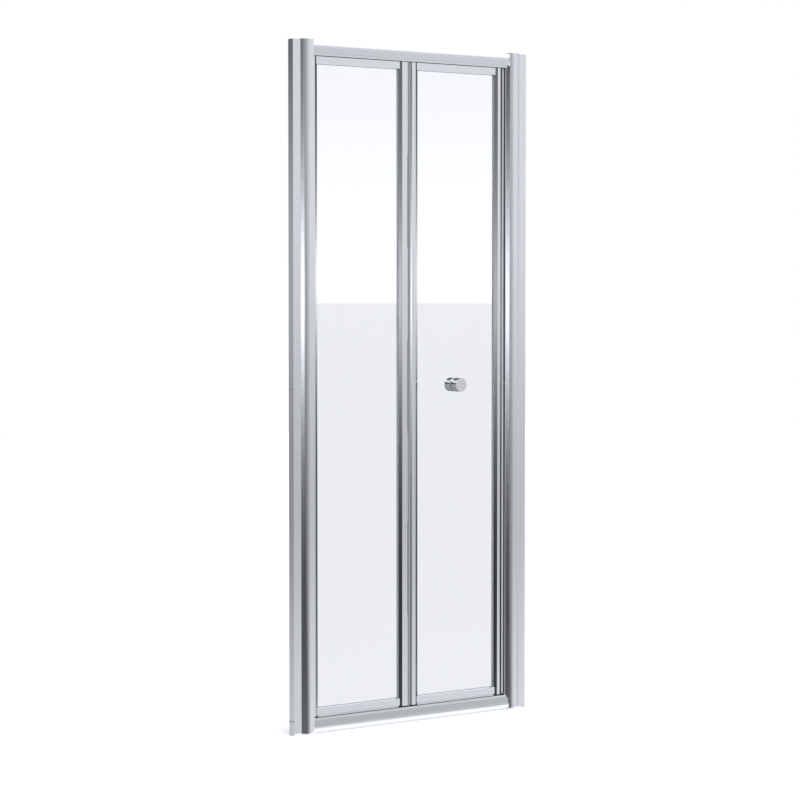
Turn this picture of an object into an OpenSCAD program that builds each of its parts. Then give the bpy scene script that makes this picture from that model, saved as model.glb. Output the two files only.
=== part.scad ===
// Bifold shower door: a two-panel folding door hung in an aluminium frame between two walls.
// Origin at the bottom centre of the frame, on the mid-plane of the glass.
// +X runs to the right seen from outside, -Y faces the room, +Y the shower, +Z up.

/* [Door] */
// Width over both wall channels
door_w = 800; // [740:10:1000]
// Height of the channels, posts and frame
door_h = 1850; // [1700:10:2000]

/* [Wall channels] */
// Width of a channel, wall to post
channel_w = 25; // [20:1:35]
// Depth of a channel, room side to shower side
channel_d = 22; // [21:1:30]
// Thickness of the channel walls
channel_wall = 1.6; // [1.2:0.1:2.2]
// Diameter of the holes for the wall screws
wall_hole_d = 5; // [4:0.5:6]
// Distance between the two holes of a pair
wall_hole_gap = 12.5; // [8:0.5:14]
// Height of the lowest pair of holes, and of the highest below the top
wall_hole_inset = 39; // [25:1:120]

/* [Posts] */
// Width of a post beside its channel
post_w = 38; // [30:1:50]
// Thickness of the post walls
post_wall = 1.6; // [1.2:0.1:2.2]
// How far the rounded front stands ahead of the channels
post_bulge = 8.3; // [6:0.1:12]
// Radius of that rounded front
post_front_r = 40; // [34:1:48]
// Distance from the inner side of a post to the crest of its front
post_crest = 15; // [12:1:20]
// How deep the tongue of a post reaches into its channel
tongue_len = 17; // [10:1:17]
// Gap between the tongue and the channel flanges
tongue_gap = 0.2; // [0.1:0.1:0.5]
// Thickness of the cap on top of a post
cap_t = 1.5; // [1:0.5:3]
// Length of the plug under the cap
cap_plug = 12; // [6:1:20]
// Gap around the plug
cap_gap = 0.2; // [0.1:0.05:0.4]

/* [Rails] */
// Height of the bottom rail
bottom_rail_h = 42; // [36:1:55]
// Height of the top rail
top_rail_h = 40; // [36:1:55]
// Flat front plane of the rails, ahead of the glass mid-plane
rail_front = 10; // [9:0.5:12]
// How far the rounded front stands ahead of that plane
rail_bulge = 5; // [4:0.5:7]
// Height of the rounded outer part of a rail
rail_round = 20; // [16:1:24]
// Radius of that rounding
rail_round_r = 30; // [28:1:36]
// How far the face of a rail leans in from the rounding to the lip
rail_lean = 0.7; // [0:0.1:1.2]
// Height of the flat lip beside the track
rail_lip = 6; // [3:0.5:10]
// Thickness of the rail walls
rail_wall = 1.6; // [1.2:0.1:2.2]
// Width of the track groove
track_w = 13; // [11:0.5:14]
// Depth of the track groove
track_depth = 16; // [15:0.5:18]

/* [Panels] */
// Thickness of the glass
glass_t = 4; // [3:0.5:5]
// Depth of the stiles
stile_d = 20; // [18:0.5:21]
// Thickness of the stile walls
stile_wall = 1.5; // [1:0.1:1.8]
// Width of the flat face of the folding stile on the pivot panel
pivot_fold_face = 15.7; // [12:0.1:22]
// Width of the flat face of the folding stile on the leading panel
lead_fold_face = 13.2; // [12:0.1:22]
// Width of the flat face of the closing stile
closing_face = 9.6; // [9:0.1:14]
// Width of the slope from a stile face to the glass
bevel_w = 9.6; // [7:0.1:10]
// Depth of that slope
bevel_d = 4.5; // [4:0.1:6]
// Distance from the pivot axis to the glass side of the pivot stile
pivot_edge = 7.3; // [6.5:0.1:9]
// Radius of the front corner of the pivot stile
pivot_corner_r = 1.5; // [0.5:0.1:2.5]
// Height of the top and bottom profiles of a panel
profile_h = 20; // [18:1:26]
// Depth of those profiles
profile_d = 14; // [12:0.5:15]
// Height of the bevel along the edge of a profile beside the glass
profile_bevel = 1; // [0.5:0.5:4]
// Thickness of one glazing gasket
gasket_t = 1.2; // [0.8:0.1:1.4]
// How far a gasket shows beyond its profile
gasket_lip = 1; // [0.5:0.1:2]
// Depth of the glazing groove in a profile
pocket_depth = 9; // [7:0.5:9]
// Gap between the glass edge and the floor of its groove
glass_edge_gap = 1; // [0.5:0.1:2]
// Gap between the bottom rail and the end of a stile
foot_gap = 4; // [3.5:0.5:8]
// Gap between the top rail and the panels
head_gap = 2; // [1:0.5:4]
// Thickness of the end plates under the stiles
plate_t = 2; // [1:0.5:2]
// Gap between the left post and the round stile
post_gap = 1; // [0.8:0.1:3]
// Height of the drip seal's body
seal_t = 2; // [1:0.5:2]
// Thickness of the fins of the drip seal
fin_t = 1; // [0.6:0.1:1.4]
// Gap between the fins of the drip seals and the bottom rail
fin_gap = 1; // [0.5:0.1:1.5]

/* [Hinge] */
// Gap from the hinge axis to each folding stile
hinge_reach = 7; // [6.6:0.1:10]
// Distance from the hinge axis to the leading stile
lead_reach = 10; // [9:0.1:12]
// How far the hinge axis lies behind the face of the stiles
hinge_set = 1; // [0.5:0.1:1.2]
// Diameter of the hinge knuckles
knuckle_d = 7; // [6.6:0.2:10]
// Diameter of the hinge rod
rod_d = 4.4; // [3:0.2:5]
// Number of knuckles, an odd count
knuckles = 7; // [5:2:11]
// Gap between two knuckles
knuckle_gap = 0.5; // [0.3:0.1:1]
// Clearance of a turning pin in its bore, on the radius
run_gap = 0.05; // [0.03:0.01:0.08]
// Thickness of the web that carries a knuckle
web_t = 3; // [2:0.2:4]
// Depth of the steep edge of the leading stile beside the knuckles
hinge_edge_d = 4.7; // [3:0.1:4.8]
// Width of that edge
hinge_edge_w = 4.7; // [3:0.1:5]
// Thickness of the guards behind the knuckles
guard_t = 1.4; // [1:0.1:3]

/* [Pivots and guides] */
// Diameter of the pivot pins
pivot_pin_d = 8; // [6:0.5:8]
// Diameter of the guide pins
guide_pin_d = 5; // [4:0.5:5.5]
// Distance from the guide axis to the edge of the closing stile
guide_inset = 11.2; // [9.5:0.1:12]
// Height of a guide roller
roller_h = 9; // [6:0.5:10]
// Gap between a roller and each side of the track
roller_gap = 0.3; // [0.2:0.1:0.6]
// Length of a pivot seat along the track
seat_len = 20; // [18:1:22]
// Gap between a pivot seat and the sides of the track
seat_gap = 0.1; // [0.05:0.05:0.3]
// Diameter of the corner blocks that stand in the stile ends
block_d = 10.8; // [9.6:0.2:10.8]
// Height of those blocks inside the stiles
block_h = 12; // [8:0.5:12]

/* [Closing edge] */
// Distance from the right post to the face of its magnet strip
strike_w = 12.2; // [11:0.1:15]
// Gap between the two magnet strips when the door is shut
closing_gap = 1; // [0.8:0.1:2]
// How far the door magnet strip stands out of the closing stile
magnet_w = 15.5; // [13:0.1:18]
// Depth of the magnet strips, room side to shower side
magnet_d = 10.4; // [9:0.2:12]
// Thickness of the magnet strip on the post
strike_magnet_t = 5.2; // [3.6:0.1:5.8]
// Depth of the strike profile, room side to shower side
strike_d = 15.5; // [14.5:0.5:19]
// Thickness of its walls
strike_wall = 1.6; // [1.2:0.1:2]
// Distance of its screws from the ends of the panel and from half height
strike_screw_inset = 120; // [40:5:400]
// Width of the slope from the closing stile to its magnet strip
closing_slope_w = 9.6; // [7:0.1:10.5]
// Depth of that slope
closing_slope_d = 4.5; // [3:0.1:5]
// How far the lips of the strike profile reach beside its magnet strip
strike_lip = 1.6; // [1:0.1:2.4]

/* [Knobs] */
// Diameter of a knob
knob_d = 38; // [25:1:50]
// Length of a knob
knob_len = 24; // [15:1:24]
// Distance from the knob axis to the edge of the closing stile
knob_setback = 152.8; // [60:0.2:200]
// Width of the softened edge of a knob
knob_edge = 1; // [0.5:0.5:3]
// Thickness of the soft washers between knob and glass
washer_t = 1; // [0.5:0.1:2]
// Diameter of the stud that joins the knobs
stud_d = 6; // [5:0.5:8]

/* [Screws] */
// Diameter of the screw shanks
screw_d = 3.4; // [3:0.1:4]
// Diameter of the screw heads
head_d = 7; // [6:0.1:8]
// Height of the screw heads
head_h = 2; // [1.5:0.1:2.5]
// Height of the lowest adjusting screw, and of the highest below the top
adjuster_inset = 120; // [60:5:400]
// Thickness of a snap-on screw cover
cover_t = 0.9; // [0.6:0.1:1.5]

/* [Hidden] */
$fn = 96;
eps = 0.02;
half_w = door_w / 2;
half_d = channel_d / 2;
post_out = half_w - channel_w;
post_in = post_out - post_w;
post_mid = post_in + post_w / 2;
tongue_half = half_d - channel_wall - tongue_gap;
rail_z = door_h - top_rail_h;
rail_nose = -rail_front - rail_bulge;

// Height of the moving panels
panel_z0 = bottom_rail_h + foot_gap;
panel_z1 = rail_z - head_gap;
profile_z0 = panel_z0 + seal_t;
profile_z1 = panel_z1 - profile_h;
clear_z0 = profile_z0 + profile_h;
glass_z0 = clear_z0 - pocket_depth + glass_edge_gap;
glass_z1 = profile_z1 + pocket_depth - glass_edge_gap;
mid_z = door_h / 2;

// Places across the door
stile_r = stile_d / 2;
pivot_x = -(post_in - post_gap - stile_r);
strike_x = post_in - strike_w;
lead_edge = strike_x - closing_gap;
closing_x = lead_edge - magnet_w;
guide_x = closing_x - guide_inset;
fold_x = (guide_x + pivot_x) / 2;
fold_y = -(stile_r - hinge_set);
pivot_fold_x = fold_x - hinge_reach;
lead_fold_x = fold_x + lead_reach;
knob_x = closing_x - knob_setback;

// Glazing grooves
pocket_w = glass_t + 2 * gasket_t;
pivot_pocket = pivot_edge + glass_edge_gap;
pivot_fold_w = pivot_fold_face + bevel_w;
lead_fold_w = lead_fold_face + bevel_w;
closing_w = closing_face + bevel_w;

// The clear glass of each panel, from slope to slope
pivot_clear = [pivot_x + pivot_edge, pivot_fold_x - pivot_fold_w];
lead_clear = [lead_fold_x + lead_fold_w, closing_x - closing_w];

// Screw bosses of the rails, as offsets from the outer corner of the section
boss_r = 3.2;
boss_sink = 0.6;
boss_z = rail_wall + boss_r - boss_sink;
boss_front = -(rail_front - rail_wall - boss_r + boss_sink);
boss_rear = half_d - post_wall - head_d / 2 - cap_gap;
screw_r = screw_d / 2;
screw_clear = 0.3;
thread_gap = 0.05;
corner_screw_len = 22;
adjuster_len = 8;
screw_end = 2;
adjuster_z = [adjuster_inset, mid_z, door_h - adjuster_inset];
wall_hole_z = [wall_hole_inset, mid_z, door_h - wall_hole_inset];
channel_mid = half_w - channel_w / 2;
strike_screw_z = [
    panel_z0 + strike_screw_inset, mid_z + strike_screw_inset, panel_z1 - strike_screw_inset
];

// Track hardware
track_z0 = bottom_rail_h - track_depth;
seat_sink = 2;
seat_top = bottom_rail_h - seat_sink;
seat_x0 = pivot_x - post_gap - stile_r + cap_gap;
seat_screw_r = 1.5;
seat_screw_head = 2.4;
seat_screw_x = seat_x0 + seat_len - seat_screw_head;
pivot_pin_z0 = track_z0 + seat_sink + screw_clear;
roller_r = track_w / 2 - roller_gap;
pin_head_h = 1;
pin_head_r = guide_pin_d / 2 + 1.5;
pin_tip = 3;

// Closing edge
magnet_root_d = 2 * (stile_r - closing_slope_d - stile_wall);
root_gap = 0.5;
magnet_root = closing_slope_w + root_gap;
strike_web = strike_x + strike_magnet_t;
strike_hollow_w = post_in - strike_web - 2 * strike_wall;
hinge_tip = [lead_reach - hinge_edge_w, hinge_edge_d - hinge_set];
small_head_h = 1.2;
lock_len = 3;
lock_r = 0.7;
lock_head_r = 1.3;
lock_x = strike_x + lock_head_r + screw_clear;

// Knobs
knob_start = glass_t / 2 + washer_t;
knob_bore = knob_len * 0.75;
washer_rim = 2;

// Hinge
knuckle_pitch = (panel_z1 - panel_z0) / knuckles;

// Corner blocks
tenon_gap = 0.2;
tenon_len = 14;
tenon_half = pocket_w / 2 - tenon_gap;
tenon_mid = (profile_h - pocket_depth) / 2;
tenon_h = profile_h - pocket_depth - 2 * stile_wall - 2 * tenon_gap;
tenon_screw_x = 8;
tenon_screw_r = 1.2;
tenon_head_r = 2.4;
tenon_screw_z = [profile_z0 + tenon_mid, panel_z1 - tenon_mid];
block_wall = 1;
block_reach = max(pivot_fold_w, lead_fold_w, closing_w) + 1;
pivot_fold_block_x = pivot_fold_x - stile_wall - block_wall - block_d / 2;
lead_fold_block_x = lead_fold_x + stile_wall + block_wall + block_d / 2;
pin_top = panel_z0 + block_h - block_wall;

// ---- helpers ----

// Radius of an arc with the given chord and height
function arc_r(chord, rise) = (chord * chord / 4 + rise * rise) / (2 * rise);

// Extrudes a section drawn in X and Y upwards
module upright(z0, z1) {
    translate([0, 0, z0]) linear_extrude(z1 - z0) children();
}

// Extrudes a section drawn in Y and Z along X
module crosswise(x0, x1) {
    translate([x0, 0, 0]) rotate([90, 0, 90]) linear_extrude(x1 - x0) children();
}

// Moves a section drawn from its outer edge towards +X to the edge at x, facing either way
module from_edge(x, dir) {
    translate([x, 0]) mirror([dir < 0 ? 1 : 0, 0]) children();
}

// A cylinder along X from x0 to x1
module rod_x(x0, x1, y, z, r) {
    translate([x0, y, z]) rotate([0, 90, 0]) cylinder(r = r, h = x1 - x0);
}

// A cylinder along Y from y0 to y1
module rod_y(x, y0, y1, z, r) {
    translate([x, y1, z]) rotate([90, 0, 0]) cylinder(r = r, h = y1 - y0);
}

// A cylinder up from z0 to z1
module rod_z(x, y, z0, z1, r) {
    translate([x, y, z0]) cylinder(r = r, h = z1 - z0);
}

module mirrored_top() {
    translate([0, 0, door_h]) mirror([0, 0, 1]) children();
}

// ---- frame sections ----

// Left post section with a rounded front whose crest lies near the inner side, which is on the
// right; inset draws the line of the inner wall
module post_outline(inset = 0) {
    intersection() {
        translate([-post_w / 2 + inset, -half_d - post_bulge])
            square([post_w - 2 * inset, channel_d + post_bulge - inset]);
        union() {
            translate([-post_w / 2, inset - half_d]) square([post_w, channel_d]);
            translate([post_w / 2 - post_crest, -half_d - post_bulge + post_front_r])
                circle(r = post_front_r - inset);
        }
    }
}

// Left post with its tongue pointing to the wall
module post_section() {
    difference() {
        union() {
            translate([-post_mid, 0]) post_outline();
            translate([-post_out - tongue_len, -tongue_half])
                square([tongue_len + eps, 2 * tongue_half]);
        }
        translate([-post_mid, 0]) post_outline(post_wall);
        translate([-post_out - tongue_len + post_wall, -tongue_half + post_wall])
            square([tongue_len - post_wall, 2 * (tongue_half - post_wall)]);
    }
}

module channel_section() {
    difference() {
        translate([-half_w, -half_d]) square([channel_w, channel_d]);
        translate([-half_w + channel_wall, -half_d + channel_wall])
            square([channel_w, channel_d - 2 * channel_wall]);
    }
}

// What the rounding takes off the outer room side of a rail, or off its hollow
module rail_corner(inset) {
    difference() {
        translate([rail_nose - 1, -1]) square([rail_round_r + 1, rail_round + 1]);
        translate([rail_nose + rail_round_r, rail_round]) circle(r = rail_round_r - inset);
    }
}

// Rail section in Y and Z with its track groove at the top: a rounded outer part, then a face
// that leans in to the lip, and two bosses left standing in the hollow for the corner screws
module rail_section(h) {
    lip_z = h - rail_lip;
    hollow_top = h - track_depth - rail_wall;
    inner_nose = rail_nose + rail_wall;
    inner_lip_z = lip_z - rail_wall;
    track_web = -track_w / 2 - rail_wall;
    difference() {
        polygon([
            [rail_nose, 0], [rail_nose, rail_round], [rail_nose + rail_lean, lip_z],
            [-rail_front, lip_z], [-rail_front, h], [half_d, h], [half_d, 0]
        ]);
        rail_corner(0);
        difference() {
            polygon([
                [inner_nose, rail_wall], [inner_nose, rail_round],
                [inner_nose + rail_lean, inner_lip_z], [track_web, inner_lip_z],
                [track_web, hollow_top], [half_d - rail_wall, hollow_top],
                [half_d - rail_wall, rail_wall]
            ]);
            rail_corner(rail_wall);
            for (y = [boss_front, boss_rear])
                translate([y, boss_z]) circle(r = boss_r);
        }
        for (y = [boss_front, boss_rear])
            translate([y, boss_z]) circle(r = screw_r + thread_gap);
        translate([-track_w / 2, h - track_depth]) square([track_w, track_depth + 1]);
    }
}

// ---- panel sections, drawn from the outer edge towards the glass ----

// Outer line of a stile with a flat face and a slope to the glass
module stile_outline(face) {
    polygon([
        [0, -stile_r], [face, -stile_r], [face + bevel_w, -stile_r + bevel_d],
        [face + bevel_w, stile_r - bevel_d], [face, stile_r], [0, stile_r]
    ]);
}

module stile_section(face) {
    pocket_x = face + bevel_w - pocket_depth;
    difference() {
        stile_outline(face);
        translate([pocket_x, -pocket_w / 2]) square([pocket_depth + 1, pocket_w]);
        translate([stile_wall, -stile_r + stile_wall])
            square([pocket_x - 2 * stile_wall, stile_d - 2 * stile_wall]);
    }
}

// Outer line of the pivot stile, centred on the pivot: flat front, back rounded to turn by the post
module pivot_stile_outline() {
    slope_x = pivot_edge - bevel_w;
    back_y = sqrt(stile_r * stile_r - slope_x * slope_x);
    intersection() {
        circle(r = stile_r);
        translate([-stile_r, 0]) square([stile_r + slope_x, stile_r]);
    }
    hull() {
        translate([pivot_corner_r - stile_r, pivot_corner_r - stile_r]) circle(r = pivot_corner_r);
        translate([-stile_r, -eps]) square([stile_r + slope_x, 2 * eps]);
        translate([slope_x - eps, -stile_r]) square([eps, stile_r]);
    }
    polygon([
        [slope_x - eps, -stile_r], [slope_x, -stile_r], [pivot_edge, -stile_r + bevel_d],
        [pivot_edge, stile_r - bevel_d], [slope_x, back_y], [slope_x - eps, back_y]
    ]);
}

module pivot_stile_section() {
    pocket_x = pivot_edge - pivot_pocket;
    difference() {
        pivot_stile_outline();
        translate([pocket_x, -pocket_w / 2]) square([pivot_pocket + 1, pocket_w]);
        intersection() {
            circle(r = stile_r - stile_wall);
            translate([-stile_r, -stile_r]) square([stile_r + pocket_x - stile_wall, stile_d]);
        }
    }
}

// Top or bottom profile of a panel in Y and Z, with its groove at the top
module profile_section() {
    difference() {
        polygon([
            [-profile_d / 2, 0], [profile_d / 2, 0], [profile_d / 2, profile_h - profile_bevel],
            [pocket_w / 2 + stile_wall, profile_h], [-pocket_w / 2 - stile_wall, profile_h],
            [-profile_d / 2, profile_h - profile_bevel]
        ]);
        translate([-pocket_w / 2, profile_h - pocket_depth]) square([pocket_w, pocket_depth + 1]);
        translate([-profile_d / 2 + stile_wall, stile_wall])
            square([profile_d - 2 * stile_wall, profile_h - pocket_depth - 2 * stile_wall]);
    }
}

// ---- frame ----

module wall_channel() {
    color("silver") difference() {
        upright(0, door_h) channel_section();
        for (z = wall_hole_z, y = [-wall_hole_gap / 2, wall_hole_gap / 2])
            rod_x(-half_w - 1, -half_w + channel_wall + 1, y, z, wall_hole_d / 2);
        for (z = adjuster_z)
            rod_y(-channel_mid, half_d - channel_wall - 1, half_d + 1, z, screw_r + screw_clear);
    }
}

module left_wall_channel() {
    wall_channel();
}

module right_wall_channel() {
    mirror([1, 0, 0]) wall_channel();
}

module post() {
    color("silver") difference() {
        upright(0, door_h) post_section();
        for (y = [boss_front, boss_rear], z = [boss_z, door_h - boss_z])
            rod_x(-post_in - post_wall - 1, -post_in + 1, y, z, screw_r + screw_clear);
        for (z = adjuster_z)
            rod_y(-channel_mid, tongue_half - post_wall - 1, tongue_half + 1, z, screw_r + thread_gap);
    }
}

module left_post() {
    post();
}

module right_post() {
    color("silver") difference() {
        mirror([1, 0, 0]) post();
        for (z = strike_screw_z)
            rod_x(post_in - 1, post_in + post_wall + 1, 0, z, screw_r + thread_gap);
    }
}

module post_cap() {
    color("silver") translate([-post_mid, 0, 0]) union() {
        upright(door_h, door_h + cap_t) post_outline();
        upright(door_h - cap_plug, door_h + eps) difference() {
            post_outline(post_wall + cap_gap);
            post_outline(2 * post_wall + cap_gap);
            translate([post_w / 2 - post_wall - 2 * head_h, -half_d]) square([post_w, channel_d]);
        }
    }
}

module left_post_cap() {
    post_cap();
}

module right_post_cap() {
    mirror([1, 0, 0]) post_cap();
}

module top_rail() {
    color("silver") mirrored_top() crosswise(-post_in, post_in) rail_section(top_rail_h);
}

module bottom_rail() {
    color("silver") crosswise(-post_in, post_in) rail_section(bottom_rail_h);
}

// One screw through the inner wall of a post into a rail
module corner_screw(y, z) {
    face = -post_in - post_wall;
    rod_x(face - head_h, face, y, z, head_d / 2);
    rod_x(face - eps, face + corner_screw_len, y, z, screw_r);
}

module corner_screws() {
    color("gainsboro")
        for (side = [0, 1], y = [boss_front, boss_rear], z = [boss_z, door_h - boss_z])
            mirror([side, 0, 0]) corner_screw(y, z);
}

// Screws that hold a post at its place in the channel, on the shower side
module adjuster_screws() {
    color("gainsboro") for (z = adjuster_z) {
        rod_y(-channel_mid, half_d, half_d + head_h, z, head_d / 2);
        rod_y(-channel_mid, half_d + eps - adjuster_len, half_d + eps, z, screw_r);
    }
}

module left_adjuster_screws() {
    adjuster_screws();
}

module right_adjuster_screws() {
    mirror([1, 0, 0]) adjuster_screws();
}

module screw_covers() {
    cover_r = head_d / 2 + cover_t + cap_gap;
    color("white") for (z = adjuster_z) difference() {
        rod_y(-channel_mid, half_d, half_d + head_h + cap_gap + cover_t, z, cover_r);
        rod_y(-channel_mid, half_d - 1, half_d + head_h + cap_gap, z, head_d / 2 + cap_gap);
    }
}

module left_screw_covers() {
    screw_covers();
}

module right_screw_covers() {
    mirror([1, 0, 0]) screw_covers();
}

// Soft lip that closes the gap between the left post and the round back of the pivot stile
module post_wiper_seal() {
    lip_gap = 0.35;
    lip_angle = 138;
    lip_root = 1.8;
    tip_r = stile_r + lip_gap;
    tip = [pivot_x + tip_r * cos(lip_angle), tip_r * sin(lip_angle)];
    color("dimgray") upright(panel_z0, panel_z1) polygon([
        [-post_in, half_d], [-post_in + lip_root, half_d], tip,
        [-post_in + lip_root / 2, tip[1] + lip_root / 2], [-post_in, tip[1]]
    ]);
}

// Channel on the right post with short lips beside its magnet strip
module strike_section() {
    half = strike_d / 2;
    difference() {
        translate([strike_web - strike_lip, -half])
            square([post_in - strike_web + strike_lip, strike_d]);
        translate([strike_x - 1, -magnet_d / 2]) square([strike_magnet_t + 1, magnet_d]);
        translate([strike_web + strike_wall, -half + strike_wall])
            square([strike_hollow_w, strike_d - 2 * strike_wall]);
    }
}

module strike_profile() {
    color("silver") difference() {
        upright(bottom_rail_h, rail_z) strike_section();
        for (z = strike_screw_z) {
            rod_x(strike_web - 1, strike_web + small_head_h, 0, z, head_d / 2 + cap_gap);
            rod_x(strike_web - 1, post_in + 1, 0, z, screw_r + screw_clear);
        }
    }
}

module strike_magnet() {
    color("gray") difference() {
        upright(bottom_rail_h, rail_z) translate([strike_x, -magnet_d / 2])
            square([strike_magnet_t, magnet_d]);
        rod_y(lock_x, -magnet_d / 2 - 1, -magnet_d / 2 + lock_len, mid_z, lock_r + thread_gap);
    }
}

module strike_screws() {
    color("gainsboro") for (z = strike_screw_z) {
        rod_x(strike_web, strike_web + small_head_h, 0, z, head_d / 2);
        rod_x(strike_web + small_head_h - eps, post_in + post_wall + screw_end, 0, z, screw_r);
    }
}

// Small screw in the room side of the strike's magnet strip, at half height
module strike_lock_screw() {
    color("gainsboro") {
        rod_y(lock_x, -magnet_d / 2 - small_head_h, -magnet_d / 2, mid_z, lock_head_r);
        rod_y(lock_x, -magnet_d / 2 - eps, -magnet_d / 2 + lock_len - thread_gap, mid_z, lock_r);
    }
}

// Nylon seat that sits in the track and takes a pivot pin from above
module pivot_seat() {
    half = track_w / 2 - seat_gap;
    color("dimgray") difference() {
        translate([seat_x0, -half, track_z0])
            cube([seat_len, 2 * half, seat_top - track_z0]);
        rod_z(pivot_x, 0, track_z0 + seat_sink, seat_top + 1, pivot_pin_d / 2 + run_gap);
        rod_z(seat_screw_x, 0, track_z0 - 1, seat_top + 1, seat_screw_r + screw_clear);
    }
}

module bottom_pivot_seat() {
    pivot_seat();
}

// Turns what is drawn over the bottom rail to its place under the top rail
module to_top_rail() {
    translate([0, 0, rail_z + bottom_rail_h]) mirror([0, 0, 1]) children();
}

module top_pivot_seat() {
    to_top_rail() pivot_seat();
}

module seat_screw() {
    rod_z(seat_screw_x, 0, seat_top, seat_top + small_head_h, seat_screw_head);
    rod_z(seat_screw_x, 0, track_z0, seat_top + eps, seat_screw_r);
}

module pivot_seat_screws() {
    color("gainsboro") {
        seat_screw();
        to_top_rail() seat_screw();
    }
}

// ---- parts that both panels share ----

// Room in a stile end for its corner block, whose tenon points along dir to the glass
module block_room(x, dir) {
    room_r = block_d / 2 + cap_gap;
    for (z = [panel_z0 - 1, panel_z1 - block_h - cap_gap]) {
        rod_z(x, 0, z, z + block_h + cap_gap + 1, room_r);
        translate([dir > 0 ? x : x - block_reach, -pocket_w / 2, z])
            cube([block_reach, pocket_w, block_h + cap_gap + 1]);
    }
}

// Knuckles of one side of the hinge: even ones on the pivot panel, odd ones on the leading panel
module knuckle_set(first, dir) {
    for (i = [first:2:knuckles - 1]) {
        z0 = panel_z0 + i * knuckle_pitch + (i == 0 ? 0 : knuckle_gap / 2);
        z1 = panel_z0 + (i + 1) * knuckle_pitch - (i == knuckles - 1 ? 0 : knuckle_gap / 2);
        rod_z(fold_x, fold_y, z0, z1, knuckle_d / 2);
        if (dir < 0) {
            translate([fold_x - hinge_reach - eps, -stile_r, z0])
                cube([hinge_reach + eps, web_t, z1 - z0]);
        } else {
            hull() {
                rod_z(fold_x, fold_y, z0, z1, web_t / 2);
                rod_z(fold_x + hinge_tip[0] + web_t / 5, fold_y + hinge_tip[1] + web_t / 3,
                      z0, z1, web_t / 2);
            }
        }
    }
}

// Guard on the side of a folding stile, hollowed round the knuckles of the other stile
module hinge_guard(dir, guard_w) {
    reach = knuckle_d / 2 + knuckle_gap;
    upright(panel_z0, panel_z1) translate([fold_x, fold_y]) difference() {
        translate([dir < 0 ? -guard_w - eps : 0, 0])
            square([guard_w + eps, reach + guard_t]);
        circle(r = reach);
    }
}

// Slanted edge of the leading stile: what is cut from its guard, and what stands before it
module hinge_edge_cut() {
    upright(panel_z0 - 1, panel_z1 + 1) translate([fold_x, fold_y])
        polygon([[0, -hinge_set], [lead_reach, -hinge_set], hinge_tip, [0, hinge_tip[1]]]);
}

module hinge_edge() {
    upright(panel_z0, panel_z1) translate([fold_x, fold_y]) polygon([
        [lead_reach, -hinge_set], [lead_reach + eps, -hinge_set],
        [lead_reach + eps, hinge_tip[1] + web_t / 2], [hinge_tip[0], hinge_tip[1] + web_t / 2],
        hinge_tip
    ]);
}

module rod_bore() {
    rod_z(fold_x, fold_y, panel_z0 - 1, panel_z1 + 1, rod_d / 2 + run_gap);
}

// Both strips of gasket beside the glass along an upright edge, root deep in the groove
module side_gasket(x, dir, root) {
    upright(clear_z0 + gasket_lip, profile_z1 - gasket_lip)
        from_edge(x, dir) for (s = [0, 1]) mirror([0, s]) {
        translate([-root, glass_t / 2]) square([root + gasket_lip, gasket_t]);
        translate([0, glass_t / 2]) square([gasket_lip, gasket_t + gasket_lip / 2]);
    }
}

// Both strips of gasket beside the glass along a profile, drawn at the bottom one
module end_gasket(x0, x1) {
    gasket_root = pocket_depth - glass_edge_gap;
    crosswise(x0, x1) for (s = [0, 1]) mirror([s, 0]) {
        translate([glass_t / 2, clear_z0 - gasket_root]) square([gasket_t, gasket_root + gasket_lip]);
        translate([glass_t / 2, clear_z0]) square([gasket_t + gasket_lip / 2, gasket_lip]);
    }
}

// Turns what is drawn at the bottom profile to the top profile
module panel_flip() {
    translate([0, 0, clear_z0 + profile_z1]) mirror([0, 0, 1]) children();
}

module panel_glass(x0, x1) {
    translate([x0, -glass_t / 2, glass_z0]) cube([x1 - x0, glass_t, glass_z1 - glass_z0]);
}

// Bottom profile between two stiles, before its ends are fitted to the slopes
module profile_bar(x0, x1) {
    translate([0, 0, profile_z0]) crosswise(x0, x1) profile_section();
}

module top_profile_bar(x0, x1) {
    translate([0, 0, panel_z1]) mirror([0, 0, 1]) crosswise(x0, x1) profile_section();
}

module drip_seal(x0, x1) {
    fin_z = bottom_rail_h + fin_gap;
    half = profile_d / 2 - fin_t;
    color("dimgray") union() {
        translate([x0, -half, panel_z0]) cube([x1 - x0, 2 * half, seal_t]);
        for (y = [-half, half - fin_t])
            translate([x0, y, fin_z]) cube([x1 - x0, fin_t, panel_z0 - fin_z + eps]);
    }
}

// Screws on the shower side that hold the profile ends to the tenons
module panel_screw_set(clear) {
    color("gainsboro")
        for (x = [clear[0] + tenon_screw_x, clear[1] - tenon_screw_x], z = tenon_screw_z) {
            rod_y(x, profile_d / 2, profile_d / 2 + small_head_h, z, tenon_head_r);
            rod_y(x, 0, profile_d / 2 + eps, z, tenon_screw_r);
        }
}

module panel_screw_holes(clear) {
    for (x = [clear[0] + tenon_screw_x, clear[1] - tenon_screw_x], z = tenon_screw_z)
        rod_y(x, -1, profile_d / 2 + 1, z, tenon_screw_r + thread_gap);
}

// Nylon corner block at the foot of a stile: a round plug in the stile and a tenon that runs
// through the glazing groove into the hollow of the profile, which starts at z
module corner_block(x, edge, dir, z) {
    tenon_end = edge + dir * tenon_len;
    difference() {
        union() {
            rod_z(x, 0, panel_z0, panel_z0 + block_h, block_d / 2);
            translate([min(x, tenon_end), -tenon_half, z + tenon_mid - tenon_h / 2])
                cube([abs(tenon_end - x), 2 * tenon_half, tenon_h]);
        }
        rod_y(edge + dir * tenon_screw_x, -1, profile_d, z + tenon_mid, tenon_screw_r + thread_gap);
    }
}

// ---- pivot panel ----

module pivot_stile() {
    color("silver") difference() {
        upright(panel_z0, panel_z1) translate([pivot_x, 0]) pivot_stile_section();
        block_room(pivot_x, 1);
    }
}

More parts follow.
